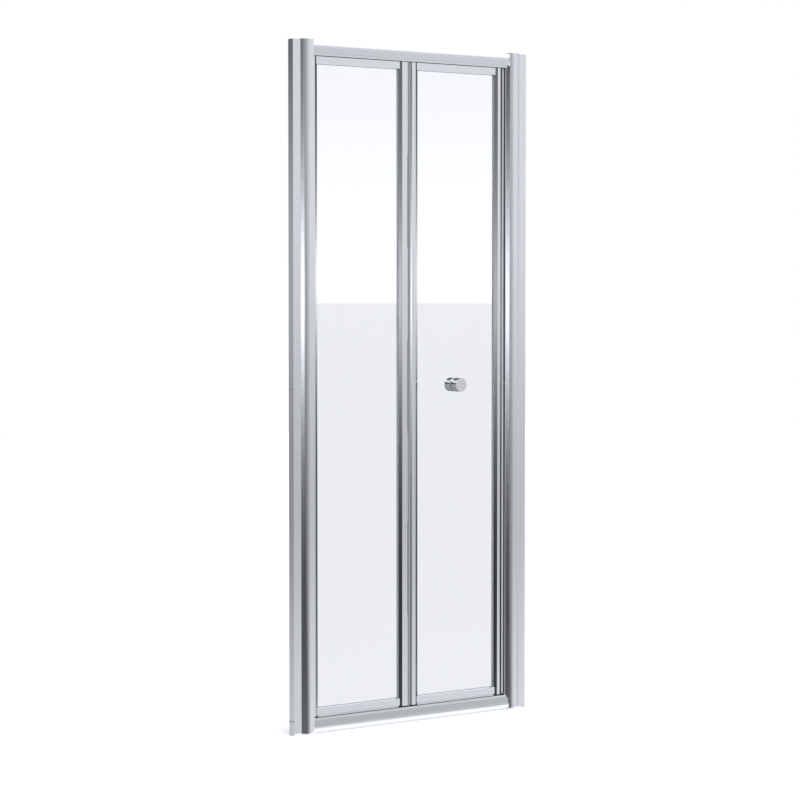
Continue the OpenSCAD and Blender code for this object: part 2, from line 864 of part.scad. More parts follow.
module pivot_fold_stile() {
    color("silver") difference() {
        union() {
            upright(panel_z0, panel_z1) from_edge(pivot_fold_x, -1) stile_section(pivot_fold_face);
            knuckle_set(0, -1);
            hinge_guard(-1, hinge_reach);
        }
        rod_bore();
        block_room(pivot_fold_block_x, -1);
    }
}

// Profile ends are shaped to the slopes of the two stiles
module pivot_ends() {
    upright(panel_z0 - 1, panel_z1 + 1) {
        translate([pivot_x, 0]) pivot_stile_outline();
        from_edge(pivot_fold_x, -1) stile_outline(pivot_fold_face);
    }
}

module pivot_top_profile() {
    color("silver") difference() {
        top_profile_bar(pivot_x + stile_r / 4, pivot_fold_x - pivot_fold_face);
        pivot_ends();
        panel_screw_holes(pivot_clear);
    }
}

module pivot_bottom_profile() {
    color("silver") difference() {
        profile_bar(pivot_x + stile_r / 4, pivot_fold_x - pivot_fold_face);
        pivot_ends();
        panel_screw_holes(pivot_clear);
    }
}

module pivot_glass() {
    color([0.85, 0.93, 0.94, 0.35])
        panel_glass(pivot_clear[0] - pivot_pocket + glass_edge_gap,
                    pivot_clear[1] + pocket_depth - glass_edge_gap);
}

module pivot_side_gaskets() {
    color("gray") {
        side_gasket(pivot_clear[0], 1, pivot_pocket - glass_edge_gap);
        side_gasket(pivot_clear[1], -1, pocket_depth - glass_edge_gap);
    }
}

module pivot_end_gaskets() {
    color("gray") {
        end_gasket(pivot_clear[0], pivot_clear[1]);
        panel_flip() end_gasket(pivot_clear[0], pivot_clear[1]);
    }
}

module pivot_drip_seal() {
    drip_seal(pivot_clear[0], pivot_clear[1]);
}

// Corner block with a bore for a pin
module pin_block(x, edge, dir, z, pin_d) {
    difference() {
        corner_block(x, edge, dir, z);
        rod_z(x, 0, panel_z0 - 1, pin_top, pin_d / 2);
    }
}

module end_plate(pin_d) {
    upright(panel_z0 - plate_t, panel_z0) difference() {
        children();
        circle(r = pin_d / 2);
    }
}

module bottom_pivot_block() {
    color("black") union() {
        pin_block(pivot_x, pivot_clear[0], 1, profile_z0, pivot_pin_d);
        translate([pivot_x, 0, 0]) end_plate(pivot_pin_d) pivot_stile_outline();
    }
}

// Turns what is drawn at the foot of a stile to its head
module to_panel_top() {
    translate([0, 0, panel_z0 + panel_z1]) mirror([0, 0, 1]) children();
}

module top_pivot_block() {
    color("black") to_panel_top() pin_block(pivot_x, pivot_clear[0], 1, panel_z0, pivot_pin_d);
}

module pivot_pin(z0) {
    rod_z(pivot_x, 0, z0, pin_top, pivot_pin_d / 2);
}

module bottom_pivot_pin() {
    color("gainsboro") pivot_pin(pivot_pin_z0);
}

module top_pivot_pin() {
    color("gainsboro") to_panel_top() pivot_pin(pivot_pin_z0 + foot_gap - head_gap);
}

module pivot_fold_blocks() {
    color("black") {
        union() {
            corner_block(pivot_fold_block_x, pivot_clear[1], -1, profile_z0);
            upright(panel_z0 - plate_t, panel_z0)
                from_edge(pivot_fold_x, -1) stile_outline(pivot_fold_face);
        }
        to_panel_top() corner_block(pivot_fold_block_x, pivot_clear[1], -1, panel_z0);
    }
}

module hinge_rod() {
    color("gray") rod_z(fold_x, fold_y, panel_z0 - plate_t, panel_z1 + head_gap / 4, rod_d / 2);
}

module pivot_panel_screws() {
    panel_screw_set(pivot_clear);
}

// ---- leading panel ----

module lead_fold_stile() {
    color("silver") difference() {
        union() {
            upright(panel_z0, panel_z1) from_edge(lead_fold_x, 1) stile_section(lead_fold_face);
            knuckle_set(1, 1);
            hinge_edge();
            difference() {
                hinge_guard(1, lead_reach);
                hinge_edge_cut();
            }
        }
        rod_bore();
        block_room(lead_fold_block_x, 1);
    }
}

module closing_stile() {
    slope_end = stile_r - closing_slope_d;
    color("silver") difference() {
        union() {
            upright(panel_z0, panel_z1) from_edge(closing_x, -1) stile_section(closing_face);
            upright(panel_z0, panel_z1) translate([closing_x, 0]) polygon([
                [-eps, -stile_r], [closing_slope_w, -slope_end], [closing_slope_w, slope_end],
                [-eps, stile_r]
            ]);
        }
        translate([closing_x, -magnet_root_d / 2, panel_z0 - 1])
            cube([magnet_root + 1, magnet_root_d, panel_z1 - panel_z0 + 2]);
        block_room(guide_x, -1);
    }
}

module lead_ends() {
    upright(panel_z0 - 1, panel_z1 + 1) {
        from_edge(lead_fold_x, 1) stile_outline(lead_fold_face);
        from_edge(closing_x, -1) stile_outline(closing_face);
    }
}

module lead_top_profile() {
    color("silver") difference() {
        top_profile_bar(lead_fold_x + lead_fold_face, closing_x - closing_face);
        lead_ends();
        panel_screw_holes(lead_clear);
    }
}

module lead_bottom_profile() {
    color("silver") difference() {
        profile_bar(lead_fold_x + lead_fold_face, closing_x - closing_face);
        lead_ends();
        panel_screw_holes(lead_clear);
    }
}

module lead_glass() {
    color([0.85, 0.93, 0.94, 0.35]) difference() {
        panel_glass(lead_clear[0] - pocket_depth + glass_edge_gap,
                    lead_clear[1] + pocket_depth - glass_edge_gap);
        rod_y(knob_x, -glass_t, glass_t, mid_z, stud_d / 2 + washer_rim);
    }
}

module lead_side_gaskets() {
    color("gray") {
        side_gasket(lead_clear[0], 1, pocket_depth - glass_edge_gap);
        side_gasket(lead_clear[1], -1, pocket_depth - glass_edge_gap);
    }
}

module lead_end_gaskets() {
    color("gray") {
        end_gasket(lead_clear[0], lead_clear[1]);
        panel_flip() end_gasket(lead_clear[0], lead_clear[1]);
    }
}

module lead_drip_seal() {
    drip_seal(lead_clear[0], lead_clear[1]);
}

module door_magnet() {
    color("gray") upright(panel_z0, panel_z1) {
        translate([closing_x, -magnet_root_d / 2]) square([magnet_root, magnet_root_d]);
        translate([closing_x + magnet_root - eps, -magnet_d / 2])
            square([magnet_w - magnet_root + eps, magnet_d]);
    }
}

module bottom_guide_block() {
    color("black") union() {
        pin_block(guide_x, lead_clear[1], -1, profile_z0, guide_pin_d);
        translate([guide_x, 0, 0]) end_plate(guide_pin_d)
            translate([-guide_x, 0]) from_edge(closing_x, -1) stile_outline(closing_face);
    }
}

module top_guide_block() {
    color("black") to_panel_top() pin_block(guide_x, lead_clear[1], -1, panel_z0, guide_pin_d);
}

// Pin with a head that keeps its roller on
module guide_pin(tip_z) {
    rod_z(guide_x, 0, tip_z, pin_top, guide_pin_d / 2);
    rod_z(guide_x, 0, tip_z, tip_z + pin_head_h, pin_head_r);
}

module bottom_guide_pin() {
    color("gainsboro") guide_pin(track_z0 + pin_tip);
}

module top_guide_pin() {
    color("gainsboro") to_panel_top() guide_pin(track_z0 + pin_tip + foot_gap - head_gap);
}

module guide_roller(tip_z) {
    z0 = tip_z + pin_head_h + cap_gap;
    difference() {
        rod_z(guide_x, 0, z0, z0 + roller_h, roller_r);
        rod_z(guide_x, 0, z0 - 1, z0 + roller_h + 1, guide_pin_d / 2 + run_gap);
    }
}

module bottom_guide_roller() {
    color("white") guide_roller(track_z0 + pin_tip);
}

module top_guide_roller() {
    color("white") to_panel_top() guide_roller(track_z0 + pin_tip + foot_gap - head_gap);
}

module lead_fold_blocks() {
    color("black") {
        union() {
            corner_block(lead_fold_block_x, lead_clear[0], 1, profile_z0);
            upright(panel_z0 - plate_t, panel_z0)
                from_edge(lead_fold_x, 1) stile_outline(lead_fold_face);
        }
        to_panel_top() corner_block(lead_fold_block_x, lead_clear[0], 1, panel_z0);
    }
}

// Turned knob with softened edges and a blind bore for the stud
module knob() {
    r = knob_d / 2;
    bore_r = stud_d / 2 + thread_gap;
    translate([knob_x, -knob_start, mid_z]) rotate([90, 0, 0]) rotate_extrude() polygon([
        [bore_r, 0], [r - knob_edge, 0], [r, knob_edge], [r, knob_len - knob_edge],
        [r - knob_edge, knob_len], [0, knob_len], [0, knob_bore], [bore_r, knob_bore]
    ]);
}

module outer_knob() {
    color("whitesmoke") knob();
}

module inner_knob() {
    color("whitesmoke") mirror([0, 1, 0]) knob();
}

module knob_stud() {
    reach = knob_start + knob_bore;
    color("gainsboro") rod_y(knob_x, -reach, reach, mid_z, stud_d / 2);
}

module knob_washers() {
    color("dimgray") for (s = [0, 1]) mirror([0, s, 0]) difference() {
        rod_y(knob_x, -knob_start, -glass_t / 2, mid_z, knob_d / 2 - washer_rim);
        rod_y(knob_x, -knob_start - 1, 1, mid_z, stud_d / 2 + cap_gap);
    }
}

module lead_panel_screws() {
    panel_screw_set(lead_clear);
}

left_wall_channel();
right_wall_channel();
left_post();
right_post();
left_post_cap();
right_post_cap();
top_rail();
bottom_rail();
corner_screws();
left_adjuster_screws();
right_adjuster_screws();
left_screw_covers();
right_screw_covers();
post_wiper_seal();
strike_profile();
strike_magnet();
strike_screws();
strike_lock_screw();
bottom_pivot_seat();
top_pivot_seat();
pivot_seat_screws();
pivot_stile();
pivot_fold_stile();
pivot_top_profile();
pivot_bottom_profile();
pivot_glass();
pivot_side_gaskets();
pivot_end_gaskets();
pivot_drip_seal();
bottom_pivot_block();
top_pivot_block();
bottom_pivot_pin();
top_pivot_pin();
pivot_fold_blocks();
hinge_rod();
pivot_panel_screws();
lead_fold_stile();
closing_stile();
lead_top_profile();
lead_bottom_profile();
lead_glass();
lead_side_gaskets();
lead_end_gaskets();
lead_drip_seal();
door_magnet();
bottom_guide_block();
top_guide_block();
bottom_guide_pin();
top_guide_pin();
lead_fold_blocks();
outer_knob();
inner_knob();
knob_stud();
knob_washers();
lead_panel_screws();
bottom_guide_roller();
top_guide_roller();
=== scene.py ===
import bpy
import math
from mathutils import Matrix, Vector


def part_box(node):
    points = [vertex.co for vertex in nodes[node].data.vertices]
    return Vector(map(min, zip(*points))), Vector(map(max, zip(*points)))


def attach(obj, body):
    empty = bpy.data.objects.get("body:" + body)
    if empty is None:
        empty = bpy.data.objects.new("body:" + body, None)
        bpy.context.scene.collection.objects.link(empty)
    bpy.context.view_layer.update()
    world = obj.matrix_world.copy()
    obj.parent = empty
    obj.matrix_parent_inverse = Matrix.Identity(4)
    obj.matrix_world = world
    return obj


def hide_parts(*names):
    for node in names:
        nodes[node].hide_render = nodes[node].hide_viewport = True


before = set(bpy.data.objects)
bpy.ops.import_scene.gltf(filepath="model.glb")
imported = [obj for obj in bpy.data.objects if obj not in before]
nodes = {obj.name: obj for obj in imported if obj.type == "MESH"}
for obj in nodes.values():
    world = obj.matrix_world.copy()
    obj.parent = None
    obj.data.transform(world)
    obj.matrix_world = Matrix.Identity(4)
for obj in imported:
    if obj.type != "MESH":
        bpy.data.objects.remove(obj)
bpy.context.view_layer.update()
print("frame loaded with", len(nodes), "nodes")


# camera at the photo's viewing angle

cameraView = {"place": (-4.311, -5.626, 1.197), "azimuth": -37.22, "rise": 2.51, "lens": 116.3,
              "sensor": 36, "sight": 60}


def placeCamera(view):
    turn, rise = math.radians(view["azimuth"]), math.radians(view["rise"])
    ahead = Vector((-math.sin(turn) * math.cos(rise), math.cos(turn) * math.cos(rise), -math.sin(rise)))
    data = bpy.data.cameras.new("photoCamera")
    data.sensor_width = view["sensor"]
    data.lens = view["lens"]
    data.clip_end = view["sight"]
    camera = bpy.data.objects.new("photoCamera", data)
    camera.location = view["place"]
    camera.rotation_euler = ahead.to_track_quat("-Z", "Y").to_euler()
    bpy.context.collection.objects.link(camera)
    bpy.context.scene.camera = camera


placeCamera(cameraView)
bpy.context.scene.view_settings.view_transform = "Standard"
print("camera placed")


# small helpers for node trees

def addNode(tree, kind, inputs=None, **settings):
    node = tree.nodes.new("ShaderNode" + kind)
    for name, value in settings.items():
        setattr(node, name, value)
    for name, value in (inputs or {}).items():
        if isinstance(value, bpy.types.NodeSocket):
            tree.links.new(value, node.inputs[name])
        else:
            node.inputs[name].default_value = value
    return node


def addMath(tree, operation, first, second=0.0, third=0.0):
    return addNode(tree, "Math", {0: first, 1: second, 2: third}, operation=operation).outputs[0]


def addRange(tree, value, low, high, toLow=0.0, toHigh=1.0):
    node = addNode(tree, "MapRange", {"Value": value, "From Min": low, "From Max": high,
                                      "To Min": toLow, "To Max": toHigh}, interpolation_type="SMOOTHSTEP")
    return node.outputs["Result"]


def addRamp(tree, value, low, high):
    # straight from 0 at low to 1 at high
    return addNode(tree, "MapRange", {"Value": value, "From Min": low, "From Max": high}).outputs["Result"]


def addPlace(tree):
    # place on the piece, in its own axes
    return addNode(tree, "SeparateXYZ", {0: addNode(tree, "TexCoord").outputs["Object"]}).outputs


def addNormal(tree):
    # direction that the surface faces, in the piece's own axes
    worldNormal = addNode(tree, "NewGeometry").outputs["Normal"]
    normal = addNode(tree, "VectorTransform", {0: worldNormal}, vector_type="NORMAL",
                     convert_from="WORLD", convert_to="OBJECT").outputs[0]
    return addNode(tree, "SeparateXYZ", {0: normal}).outputs


def addTint(tree, color, share):
    return addNode(tree, "VectorMath", {0: color, "Scale": share}, operation="SCALE").outputs[0]


# studio surroundings, seen by the metal and the glass as soft light and dark zones.
# azimuth 0 is straight ahead of the door and grows to its right, both angles in degrees

studio = {
    "dark": 0.05,
    "frontBox": {"left": -32, "leftFull": 38, "leftLean": 4,
                 "right": 79, "rightSoft": 6, "rightLean": 0.4, "light": 0.735},
    "frontDip": {"height": -5.0, "above": 7.2, "below": 4.7, "share": 0.31},
    "glows": {
        "left": {"azimuth": -70, "reach": 60, "soft": 20,
                 "height": -0.2, "spread": 1.5, "power": 1.15, "light": 2.1},
        "right": {"azimuth": 112, "reach": 28, "soft": 3,
                  "height": 0.2, "spread": 1.4, "power": 1.1, "light": 2.9},
        "side": {"azimuth": -165, "reach": 37, "soft": 8,
                 "height": 0.2, "spread": 4.6, "power": 2, "light": 0.36},
        "sideFloor": {"azimuth": -160, "reach": 34, "soft": 20,
                      "height": -11, "spread": 5, "power": 2, "light": 0.6},
        "back": {"azimuth": 165, "reach": 30, "soft": 20,
                 "height": 0, "spread": 6, "power": 2, "light": 0.3},
        "backBar": {"azimuth": -170, "reach": 40, "soft": 20,
                    "height": 28, "spread": 5, "power": 2, "light": 1.3},
        "backFloor": {"azimuth": 137, "reach": 40, "soft": 20,
                      "height": -17, "spread": 9, "power": 2, "light": 0.45},
    },
    "sky": {"azimuth": 20, "reach": 115, "soft": 30,
            "from": 2, "to": 36, "light": 1.35, "behind": 0.5},
    "ground": {"from": -6, "to": -38, "light": 1.08, "behind": 0.6},
    "tint": (0.945, 0.962, 1.0, 1.0),
}


def addZone(tree, azimuth, box):
    # 1 within the box's reach to both sides of its azimuth, softly down to 0 outside
    turned = addMath(tree, "SUBTRACT", azimuth, box["azimuth"])
    away = addMath(tree, "ABSOLUTE", addMath(tree, "WRAP", turned, 180.0, -180.0))
    return addRange(tree, away, box["reach"] - box["soft"] / 2, box["reach"] + box["soft"] / 2, 1, 0)


def addGlow(tree, azimuth, rise, box):
    # a level band of light that fades upwards and downwards
    off = addMath(tree, "DIVIDE", addMath(tree, "SUBTRACT", rise, box["height"]), box["spread"])
    steps = addMath(tree, "POWER", addMath(tree, "ABSOLUTE", off), box["power"])
    fall = addMath(tree, "EXPONENT", addMath(tree, "MULTIPLY", steps, -1))
    shape = addMath(tree, "MULTIPLY", addZone(tree, azimuth, box), fall)
    return addMath(tree, "MULTIPLY", shape, box["light"])


def addFrontBox(tree, azimuth, rise, box, dip):
    # the broad light ahead of the door. Both its sides lean to the right below the horizon
    sunken = addMath(tree, "MULTIPLY", addMath(tree, "MINIMUM", rise, 0.0), -1)
    leftEdge = addMath(tree, "MULTIPLY_ADD", sunken, box["leftLean"], third=box["left"])
    rightEdge = addMath(tree, "MULTIPLY_ADD", sunken, box["rightLean"], third=box["right"])
    fromLeft = addRamp(tree, azimuth, leftEdge, box["leftFull"])
    toRight = addRange(tree, addMath(tree, "SUBTRACT", azimuth, rightEdge), 0, box["rightSoft"], 1, 0)
    front = addMath(tree, "MULTIPLY", fromLeft, toRight)
    dipAway = addMath(tree, "SUBTRACT", rise, dip["height"])
    dipAbove = addMath(tree, "DIVIDE", dipAway, dip["above"])
    dipBelow = addMath(tree, "DIVIDE", dipAway, -dip["below"])
    dipShare = addRange(tree, addMath(tree, "MAXIMUM", dipAbove, dipBelow), 0, 1, dip["share"], 0)
    shape = addMath(tree, "MULTIPLY", front, addMath(tree, "SUBTRACT", 1, dipShare))
    return addMath(tree, "MULTIPLY", shape, box["light"])


def addDome(tree, inFront, box, share):
    # sky or ground, brighter ahead of the door than behind it
    light = addMath(tree, "MULTIPLY_ADD", inFront, box["light"] - box["behind"], third=box["behind"])
    return addMath(tree, "MULTIPLY", light, share)


def buildStudio(values):
    world = bpy.data.worlds.new("paleStudio")
    bpy.context.scene.world = world
    world.use_nodes = True
    tree = world.node_tree
    tree.nodes.clear()
    axes = addNode(tree, "SeparateXYZ", {0: addNode(tree, "TexCoord").outputs["Generated"]}).outputs
    rise = addMath(tree, "DEGREES", addMath(tree, "ARCSINE", axes["Z"]))
    ahead = addMath(tree, "MULTIPLY", axes["Y"], -1)
    azimuth = addMath(tree, "DEGREES", addMath(tree, "ARCTAN2", axes["X"], ahead))
    total = addFrontBox(tree, azimuth, rise, values["frontBox"], values["frontDip"])
    for box in values["glows"].values():
        total = addMath(tree, "ADD", total, addGlow(tree, azimuth, rise, box))
    sky, ground = values["sky"], values["ground"]
    inFront = addZone(tree, azimuth, sky)
    above = addDome(tree, inFront, sky, addRange(tree, rise, sky["from"], sky["to"]))
    below = addDome(tree, inFront, ground, addRamp(tree, rise, ground["from"], ground["to"]))
    domes = addMath(tree, "MAXIMUM", above, below)
    total = addMath(tree, "MAXIMUM", addMath(tree, "ADD", total, values["dark"]), domes)
    lit = addNode(tree, "Background", {"Color": values["tint"], "Strength": total}).outputs[0]
    white = addNode(tree, "Background", {"Color": (1, 1, 1, 1), "Strength": 1.0}).outputs[0]
    path = addNode(tree, "LightPath").outputs
    direct = addMath(tree, "LESS_THAN", path["Glossy Depth"], 0.5)
    through = addMath(tree, "MULTIPLY", path["Is Transmission Ray"], direct)
    seen = addMath(tree, "MAXIMUM", path["Is Camera Ray"], through)
    mixed = addNode(tree, "MixShader", {0: seen, 1: lit, 2: white}).outputs[0]
    addNode(tree, "OutputWorld", {"Surface": mixed})


buildStudio(studio)
print("studio lit")


# white floor with a soft shadow, and a strip around the foot of the door that only the metal sees

floorLook = {"size": 24, "color": (0.93, 0.93, 0.935, 1), "roughness": 0.9}
nearLook = {"width": 1.2, "depth": 0.5, "lift": 0.0002, "halfDoor": (0.375, 0.015),
            "fadeFrom": 0.006, "fadeTo": 0.035}
sunLook = {"strength": 1.72, "spread": 60, "turn": (math.radians(28), math.radians(-14), 0)}


def newPlane(name, width, depth, place, material, turn=(0, 0, 0)):
    bpy.ops.object.select_all(action="DESELECT")
    bpy.ops.mesh.primitive_plane_add(size=1, location=place, rotation=turn)
    plane = bpy.context.object
    plane.name = name
    plane.scale = (width, depth, 1)
    bpy.ops.object.transform_apply(location=True, rotation=True, scale=True)
    plane.data.materials.append(material)
    return plane


def newPaint(name, values):
    paint = bpy.data.materials.new(name)
    paint.use_nodes = True
    shader = paint.node_tree.nodes["Principled BSDF"]
    shader.inputs["Base Color"].default_value = values["color"]
    shader.inputs["Roughness"].default_value = values["roughness"]
    shader.inputs["Specular IOR Level"].default_value = 0.0
    return paint, shader


def buildNearFloor(values, paintLook):
    # fades out around the door, so its own edges are never seen
    paint, shader = newPaint("nearPaint", paintLook)
    tree = paint.node_tree
    place = addPlace(tree)
    squares = []
    for axis, half in zip("XY", values["halfDoor"]):
        outside = addMath(tree, "SUBTRACT", addMath(tree, "ABSOLUTE", place[axis]), half)
        squares.append(addMath(tree, "POWER", addMath(tree, "MAXIMUM", outside, 0.0), 2.0))
    away = addMath(tree, "SQRT", addMath(tree, "ADD", squares[0], squares[1]))
    fade = addRange(tree, away, values["fadeFrom"], values["fadeTo"], 1, 0)
    tree.links.new(fade, shader.inputs["Alpha"])
    near = newPlane("nearFloor", values["width"], values["depth"], (0, 0, values["lift"]), paint)
    for name in ("visible_camera", "visible_diffuse", "visible_shadow", "visible_transmission"):
        setattr(near, name, False)


def buildFloor(values, sun):
    paint = newPaint("paleFloor", values)[0]
    floor = newPlane("studioFloor", values["size"], values["size"], (0, 0, 0), paint)
    floor.visible_glossy = False  # the metal sees the studio's zones instead of a floor without end
    floor.visible_transmission = False  # and the glass shows the same white above and below its horizon
    light = bpy.data.lights.new("softSun", "SUN")
    light.energy = sun["strength"]
    light.angle = math.radians(sun["spread"])
    lamp = bpy.data.objects.new("softSun", light)
    lamp.rotation_euler = sun["turn"]
    lamp.visible_glossy = False
    bpy.context.collection.objects.link(lamp)


buildFloor(floorLook, sunLook)
buildNearFloor(nearLook, floorLook)
print("floor built")


# node groups that several finishes share

def newGroup(name, inputs, outputs):
    group = bpy.data.node_groups.new(name, "ShaderNodeTree")
    for label, kind, value in inputs:
        socket = group.interface.new_socket(name=label, in_out="INPUT", socket_type="NodeSocket" + kind)
        socket.default_value = value
    for label, kind in outputs:
        group.interface.new_socket(name=label, in_out="OUTPUT", socket_type="NodeSocket" + kind)
    return group, group.nodes.new("NodeGroupInput").outputs, group.nodes.new("NodeGroupOutput").inputs


def addNoise(tree, place, scale, detail, roughness=0.5):
    return addNode(tree, "TexNoise", {"Vector": place, "Scale": scale, "Detail": detail,
                                      "Roughness": roughness}).outputs["Fac"]


def addOffset(tree, first, share, second):
    # two patterns mixed, as an offset around 0
    both = addMath(tree, "ADD", addMath(tree, "MULTIPLY", first, share),
                   addMath(tree, "MULTIPLY", second, 1 - share))
    return addMath(tree, "SUBTRACT", both, 0.5)


def putLook(group, given, put, offset, relief):
    # the offset changes the finish's shade and roughness a little over the surface
    shaded = addMath(group, "MULTIPLY_ADD", offset, given["Shade"], third=1.0)
    rough = addMath(group, "MULTIPLY_ADD", offset, given["Variation"], third=given["Roughness"])
    group.links.new(addTint(group, given["Color"], shaded), put["Color"])
    group.links.new(rough, put["Roughness"])
    group.links.new(relief, put["Height"])


grainLook = {"detail": 3.0, "roughness": 0.6, "cloudScale": 9.0, "cloudDetail": 2.0, "lineShare": 0.7}
speckleLook = {"detail": 2.0, "cloudScale": 25.0, "cloudDetail": 3.0, "speckleShare": 0.5}
lookOutputs = [("Color", "Color"), ("Roughness", "Float"), ("Height", "Float")]


def buildDrawnGrain(values):
    # fine lines left along a drawn metal section, with slow clouds of shade
    group, given, put = newGroup("drawnGrain", [
        ("Stretch", "Vector", (700, 700, 3)), ("Color", "Color", (0.8, 0.8, 0.8, 1)),
        ("Shade", "Float", 0.04), ("Roughness", "Float", 0.2), ("Variation", "Float", 0.05)], lookOutputs)
    place = addNode(group, "TexCoord").outputs["Object"]
    along = addNode(group, "VectorMath", {0: place, 1: given["Stretch"]}, operation="MULTIPLY").outputs[0]
    lines = addNoise(group, along, 1.0, values["detail"], values["roughness"])
    clouds = addNoise(group, place, values["cloudScale"], values["cloudDetail"])
    putLook(group, given, put, addOffset(group, lines, values["lineShare"], clouds), lines)
    return group


def buildFineSpeckle(values):
    # matt moulded or rubbed surface with a fine speckle
    group, given, put = newGroup("fineSpeckle", [
        ("Size", "Float", 1500.0), ("Color", "Color", (0.5, 0.5, 0.5, 1)), ("Shade", "Float", 0.1),
        ("Roughness", "Float", 0.5), ("Variation", "Float", 0.1)], lookOutputs)
    place = addNode(group, "TexCoord").outputs["Object"]
    speckle = addNoise(group, place, given["Size"], values["detail"])
    clouds = addNoise(group, place, values["cloudScale"], values["cloudDetail"])
    putLook(group, given, put, addOffset(group, speckle, values["speckleShare"], clouds), speckle)
    return group


drawnGrain = buildDrawnGrain(grainLook)
fineSpeckle = buildFineSpeckle(speckleLook)


# plain finishes: node group, its values, sockets of the shader, strength of the relief

reliefDepth = 0.0002
aluminium = {"Color": (0.9, 0.91, 0.935, 1), "Shade": 0.05, "Roughness": 0.1, "Variation": 0.04}
upright = dict(aluminium, Stretch=(900, 900, 4))
crosswise = dict(aluminium, Stretch=(4, 900, 900))
metal = {"Metallic": 1.0}
finishLook = {
    "uprightAluminium": (drawnGrain, upright, metal, 0.06),
    "stileAluminium": (drawnGrain, upright, metal, 0.06),
    "crossAluminium": (drawnGrain, crosswise, metal, 0.06),
    "railAluminium": (drawnGrain, dict(crosswise, Color=(0.82, 0.83, 0.855, 1)), metal, 0.06),
    "steel": (fineSpeckle, {"Size": 2500, "Color": (0.72, 0.73, 0.75, 1), "Shade": 0.1,
                            "Roughness": 0.28, "Variation": 0.1}, metal, 0.05),
    "chrome": (fineSpeckle, {"Size": 60, "Color": (0.93, 0.94, 0.95, 1), "Shade": 0.02,
                             "Roughness": 0.05, "Variation": 0.02}, metal, 0.01),
    "satinChrome": (fineSpeckle, {"Size": 3000, "Color": (0.9, 0.9, 0.91, 1), "Shade": 0.05,
                                  "Roughness": 0.3, "Variation": 0.1}, metal, 0.03),
    "whiteNylon": (fineSpeckle, {"Color": (0.86, 0.86, 0.85, 1), "Shade": 0.06,
                                 "Roughness": 0.42}, {}, 0.05),
    "darkNylon": (fineSpeckle, {"Color": (0.02, 0.02, 0.022, 1), "Shade": 0.3,
                                "Roughness": 0.5}, {}, 0.08),
    "greySeal": (fineSpeckle, {"Color": (0.32, 0.33, 0.345, 1), "Shade": 0.15,
                               "Roughness": 0.55}, {}, 0.08),
    "paleSeal": (fineSpeckle, {"Color": (0.5, 0.51, 0.53, 1), "Shade": 0.12,
                               "Roughness": 0.5}, {}, 0.06),
    "clearGasket": (fineSpeckle, {"Color": (0.93, 0.94, 0.95, 1), "Shade": 0.03, "Roughness": 0.25},
                    {"Transmission Weight": 0.75, "IOR": 1.3}, 0.03),
    "magnetStrip": (fineSpeckle, {"Color": (0.045, 0.046, 0.05, 1), "Shade": 0.12,
                                  "Roughness": 0.5}, {}, 0.06),
    "glossStrip": (fineSpeckle, {"Color": (0.42, 0.425, 0.44, 1), "Shade": 0.06, "Roughness": 0.2},
                   {"Coat Weight": 1.0}, 0.03),
    "softWasher": (fineSpeckle, {"Color": (0.12, 0.12, 0.125, 1), "Shade": 0.1,
                                 "Roughness": 0.5}, {}, 0.05),
}


def newFinish(name, group, values, sockets, relief):
    material = bpy.data.materials.new(name)
    material.use_nodes = True
    tree = material.node_tree
    shader = tree.nodes["Principled BSDF"]
    look = tree.nodes.new("ShaderNodeGroup")
    look.node_tree = group
    for label, value in values.items():
        look.inputs[label].default_value = value
    for label, value in sockets.items():
        shader.inputs[label].default_value = value
    tree.links.new(look.outputs["Color"], shader.inputs["Base Color"])
    tree.links.new(look.outputs["Roughness"], shader.inputs["Roughness"])
    bump = addNode(tree, "Bump", {"Strength": relief, "Distance": reliefDepth,
                                  "Height": look.outputs["Height"]})
    tree.links.new(bump.outputs["Normal"], shader.inputs["Normal"])
    return material


finishes = {name: newFinish(name, *look) for name, look in finishLook.items()}
print("plain finishes mixed")


# shades that stand between a finish and its shader, by where a surface lies and faces, painting shade and
# reflection

hingeLow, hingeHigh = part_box("hinge_rod")
# stile values: the slopes keep half their colour as painted shade; a band along the hinge is darker and
# matt
stileLook = {"slopeNormal": 0.424, "slopeSpread": 0.05, "slopePaintedShade": 0.5,
             "hingePlace": (hingeLow.x + hingeHigh.x) / 2, "hingeReach": 0.0045,
             "hingeShade": 0.68, "hingeMatt": 0.3}
postLook = {"edgeFrom": 0.33, "edgeTo": 0.4, "facing": -0.2, "matt": 0.35}
# painted reflection on the knobs: share of colour kept along their top and along their underside
knobReflectionLook = {"ceilingFrom": 0.6, "ceilingTo": 0.78, "ceilingPaintedShade": 0.12,
              "floorFrom": -0.12, "floorTo": -0.3, "floorPaintedShade": 0.42}


def newShade(name):
    return newGroup(name, [("Color", "Color", (0.8, 0.8, 0.8, 1)), ("Roughness", "Float", 0.1)],
                    [("Color", "Color"), ("Roughness", "Float")])


def buildStilePaintedShade(values):
    # painted shade darkens a stile's slopes by the way they face; the band along its hinge is darker and
    # matt
    group, given, put = newShade("stilePaintedShade")
    facing, place = addNormal(group), addPlace(group)

    def near(value, middle, reach):
        away = addMath(group, "ABSOLUTE", addMath(group, "SUBTRACT", value, middle))
        return addMath(group, "LESS_THAN", away, reach)

    # painted shade on the faces that turn aside as the slopes do
    ahead = addMath(group, "LESS_THAN", facing["Y"], 0)
    steep = near(addMath(group, "ABSOLUTE", facing["X"]), values["slopeNormal"], values["slopeSpread"])
    slope = addMath(group, "MULTIPLY", steep, ahead)
    hinge = near(place["X"], values["hingePlace"], values["hingeReach"])
    slopeLoss = addMath(group, "MULTIPLY", slope, 1 - values["slopePaintedShade"])
    hingeLoss = addMath(group, "MULTIPLY", hinge, 1 - values["hingeShade"])
    kept = addMath(group, "SUBTRACT", 1.0, addMath(group, "MAXIMUM", slopeLoss, hingeLoss))
    rough = addMath(group, "MULTIPLY_ADD", hinge, values["hingeMatt"], third=given["Roughness"])
    group.links.new(addTint(group, given["Color"], kept), put["Color"])
    group.links.new(rough, put["Roughness"])
    return group


